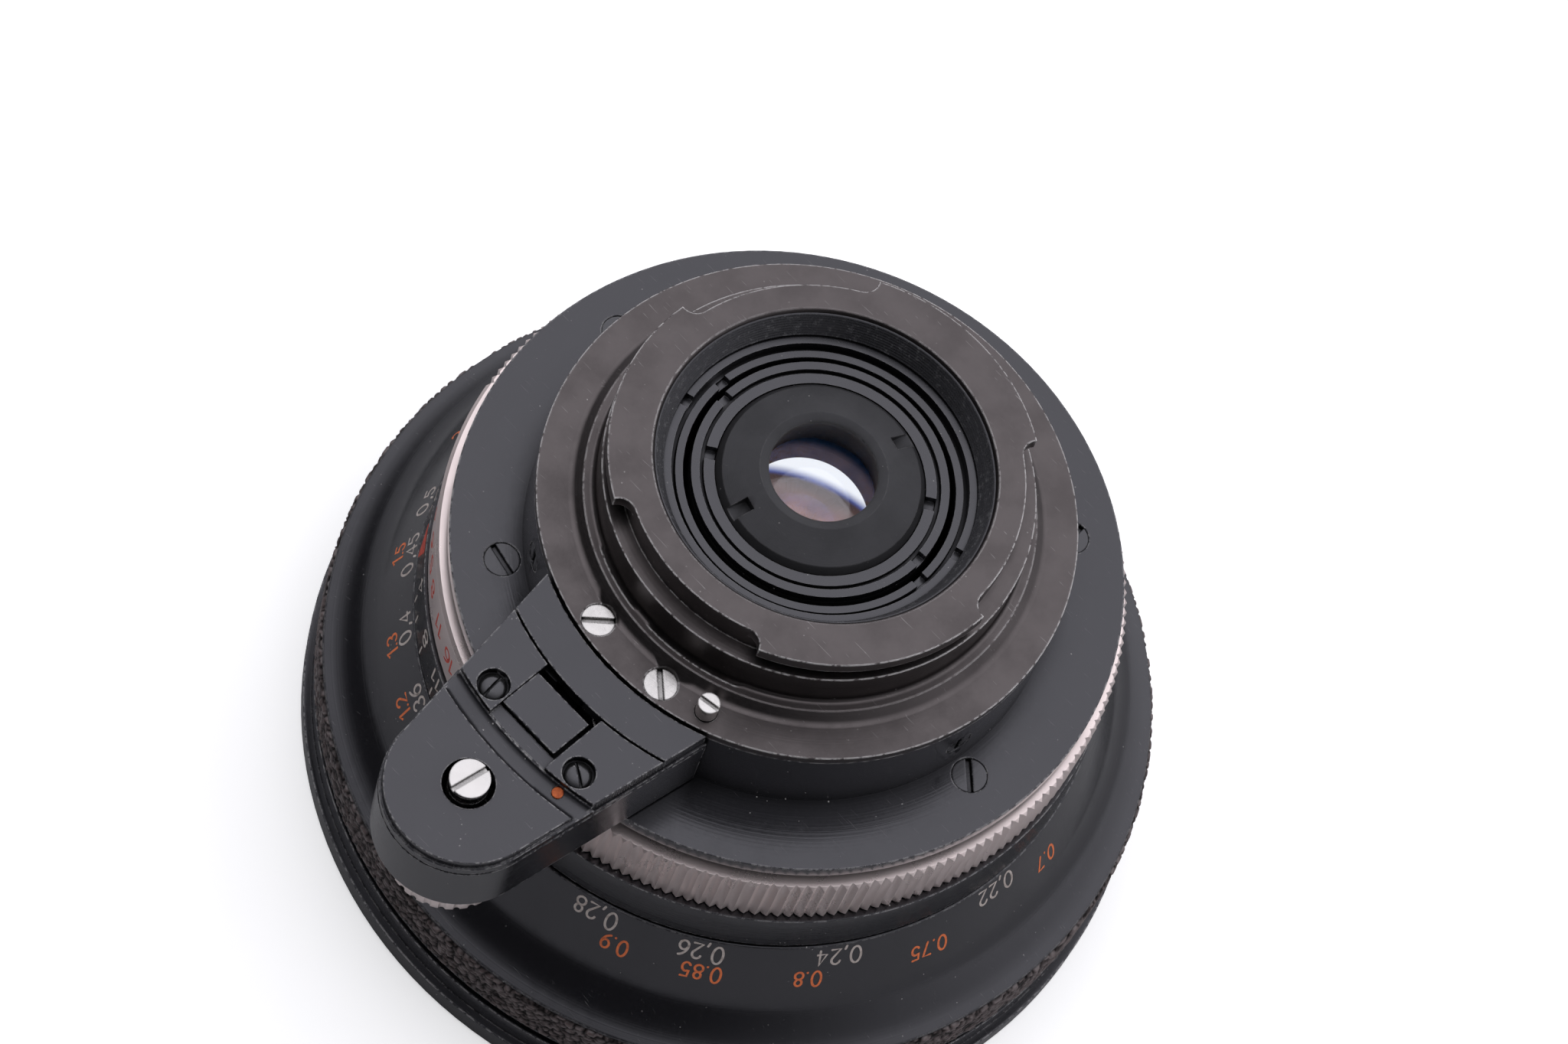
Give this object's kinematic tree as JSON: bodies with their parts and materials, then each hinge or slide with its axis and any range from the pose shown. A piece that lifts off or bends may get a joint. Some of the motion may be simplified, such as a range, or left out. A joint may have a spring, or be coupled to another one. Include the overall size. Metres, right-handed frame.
{
  "type": "camera lens",
  "caption": "Wide-angle camera lens with a three-claw bayonet, knurled aperture ring, focusing ring with scale, and an outside release arm that closes the iris.",
  "frame": {"origin": "centre of the mount flange seat, on the optical axis", "axes": "+Z along the optical axis to the camera; the lens faces -Z; +X along the release arm"},
  "size_m": [0.0958, 0.088, 0.0603],
  "materials": {
    "satin_nickel": "satin nickel plate, worn bright on the claws",
    "pale_nickel": "pale matt nickel plate on the parts the fingers turn and press",
    "bright_steel": "turned steel, slightly dull",
    "black_anodised": "satin black anodised",
    "black_screw": "blackened steel",
    "plain_aluminium": "as turned, greased",
    "blade_steel": "blued spring steel",
    "coated_glass": "polished, thin purple coating",
    "leatherette": "fine grained black leatherette",
    "orange_paint": "engraved dot filled with paint"
  },
  "bodies": {
    "lens_body": {"bayonet_mount": "satin_nickel", "mount_screws": "bright_steel", "lock_pin": "bright_steel", "mount_hub": "black_anodised", "hub_screws": "black_screw", "rear_cover": "black_anodised", "cover_screws": "black_screw", "main_barrel": "plain_aluminium", "detent_ball": "bright_steel", "depth_of_field_ring": "black_anodised", "focus_keeper_ring": "plain_aluminium", "focus_stop_pin": "bright_steel", "guide_key": "bright_steel", "guide_sleeve": "black_anodised", "sleeve_lock_ring": "black_anodised", "sleeve_inner_ring": "black_anodised", "arm_housing": "black_anodised", "arm_band": "black_anodised", "arm_blocks": "black_anodised", "arm_screws": "black_screw", "arm_index_dot": "orange_paint", "crank_pin": "bright_steel", "return_spring": "bright_steel"},
    "focusing_ring": {"focus_ring": "black_anodised", "focus_grip": "leatherette"},
    "optics_head": {"head_barrel": "black_anodised", "front_rim": "black_anodised", "name_ring": "black_anodised", "optics_barrel": "black_anodised", "second_lens_ring": "black_anodised", "third_lens_ring": "black_anodised", "front_element": "coated_glass", "second_element": "coated_glass", "third_element": "coated_glass", "iris_housing": "plain_aluminium", "rear_tube": "black_anodised", "rear_tube_ring": "black_anodised", "rear_cell_ring": "black_anodised", "rear_cell": "black_anodised", "fourth_element": "coated_glass", "fifth_element": "coated_glass", "sixth_element": "coated_glass", "rear_element": "coated_glass", "rear_spacers": "black_anodised"},
    "aperture_control": {"aperture_ring": "pale_nickel", "preset_ring": "black_anodised", "coupling_screw": "bright_steel"},
    "release_plunger": {"release_button": "pale_nickel", "plunger_rod": "bright_steel", "plunger_screw": "bright_steel"},
    "transfer_slide": {"transfer_slide": "black_anodised"},
    "transfer_crank": {"transfer_crank": "bright_steel"},
    "iris_ring": {"iris_drive_ring": "plain_aluminium"},
    "blade_1": {"iris_blade_1": "blade_steel"},
    "blade_2": {"iris_blade_2": "blade_steel"},
    "blade_3": {"iris_blade_3": "blade_steel"},
    "blade_4": {"iris_blade_4": "blade_steel"},
    "blade_5": {"iris_blade_5": "blade_steel"},
    "blade_6": {"iris_blade_6": "blade_steel"}
  },
  "joints": [
    {"name": "focus_turn", "type": "hinge", "parent": "lens_body", "child": "focusing_ring", "pos_m": [0, 0, -0.04], "axis": [0, 0, 1], "range_deg": [-183.7, 91.9]},
    {"name": "head_slide", "type": "slide", "parent": "lens_body", "child": "optics_head", "axis": [0, 0, 1], "range_m": [-0.00213, 0.00107]},
    {"name": "aperture_turn", "type": "hinge", "parent": "lens_body", "child": "aperture_control", "pos_m": [0, 0, -0.0162], "axis": [0, 0, 1], "range_deg": [-32.5, 0]},
    {"name": "release_press", "type": "slide", "parent": "lens_body", "child": "release_plunger", "axis": [0, 0, 1], "range_m": [0, 0.0044], "stiffness_N_per_m": 350, "springref_m": -0.002, "deforming": ["return_spring"]},
    {"name": "slide_push", "type": "slide", "parent": "lens_body", "child": "transfer_slide", "axis": [1, 0, 0], "range_m": [-0.00108, 0]},
    {"name": "crank_swing", "type": "hinge", "parent": "lens_body", "child": "transfer_crank", "pos_m": [0.0282, 0.003, -0.005], "axis": [0, 0, 1], "range_deg": [-16.71, 0]},
    {"name": "iris_drive", "type": "hinge", "parent": "optics_head", "child": "iris_ring", "pos_m": [0, 0, -0.016], "axis": [0, 0, 1], "range_deg": [0, 12.71]},
    {"name": "blade_1_swing", "type": "hinge", "parent": "optics_head", "child": "blade_1", "pos_m": [0.0123, 0, -0.0179], "axis": [0, 0, 1], "range_deg": [0, 26.81]},
    {"name": "blade_2_swing", "type": "hinge", "parent": "optics_head", "child": "blade_2", "pos_m": [0.00615, 0.01065, -0.0179], "axis": [0, 0, 1], "range_deg": [0, 26.81]},
    {"name": "blade_3_swing", "type": "hinge", "parent": "optics_head", "child": "blade_3", "pos_m": [-0.00615, 0.01065, -0.0179], "axis": [0, 0, 1], "range_deg": [0, 26.81]},
    {"name": "blade_4_swing", "type": "hinge", "parent": "optics_head", "child": "blade_4", "pos_m": [-0.0123, 0, -0.0179], "axis": [0, 0, 1], "range_deg": [0, 26.81]},
    {"name": "blade_5_swing", "type": "hinge", "parent": "optics_head", "child": "blade_5", "pos_m": [-0.00615, -0.01065, -0.0179], "axis": [0, 0, 1], "range_deg": [0, 26.81]},
    {"name": "blade_6_swing", "type": "hinge", "parent": "optics_head", "child": "blade_6", "pos_m": [0.00615, -0.01065, -0.0179], "axis": [0, 0, 1], "range_deg": [0, 26.81]}
  ],
  "couplings": [
    {"joint": "head_slide", "follows": "focus_turn", "m_per_rad": 0.00066526},
    {"joint": "slide_push", "follows": "release_press", "ratio": -0.24423},
    {"joint": "crank_swing", "follows": "release_press", "rad_per_m": -66.243},
    {"joint": "iris_drive", "follows": "release_press", "rad_per_m": 50.377},
    {"joint": "blade_1_swing", "follows": "release_press", "rad_per_m": 106.31},
    {"joint": "blade_2_swing", "follows": "release_press", "rad_per_m": 106.31},
    {"joint": "blade_3_swing", "follows": "release_press", "rad_per_m": 106.31},
    {"joint": "blade_4_swing", "follows": "release_press", "rad_per_m": 106.31},
    {"joint": "blade_5_swing", "follows": "release_press", "rad_per_m": 106.31},
    {"joint": "blade_6_swing", "follows": "release_press", "rad_per_m": 106.31}
  ]
}
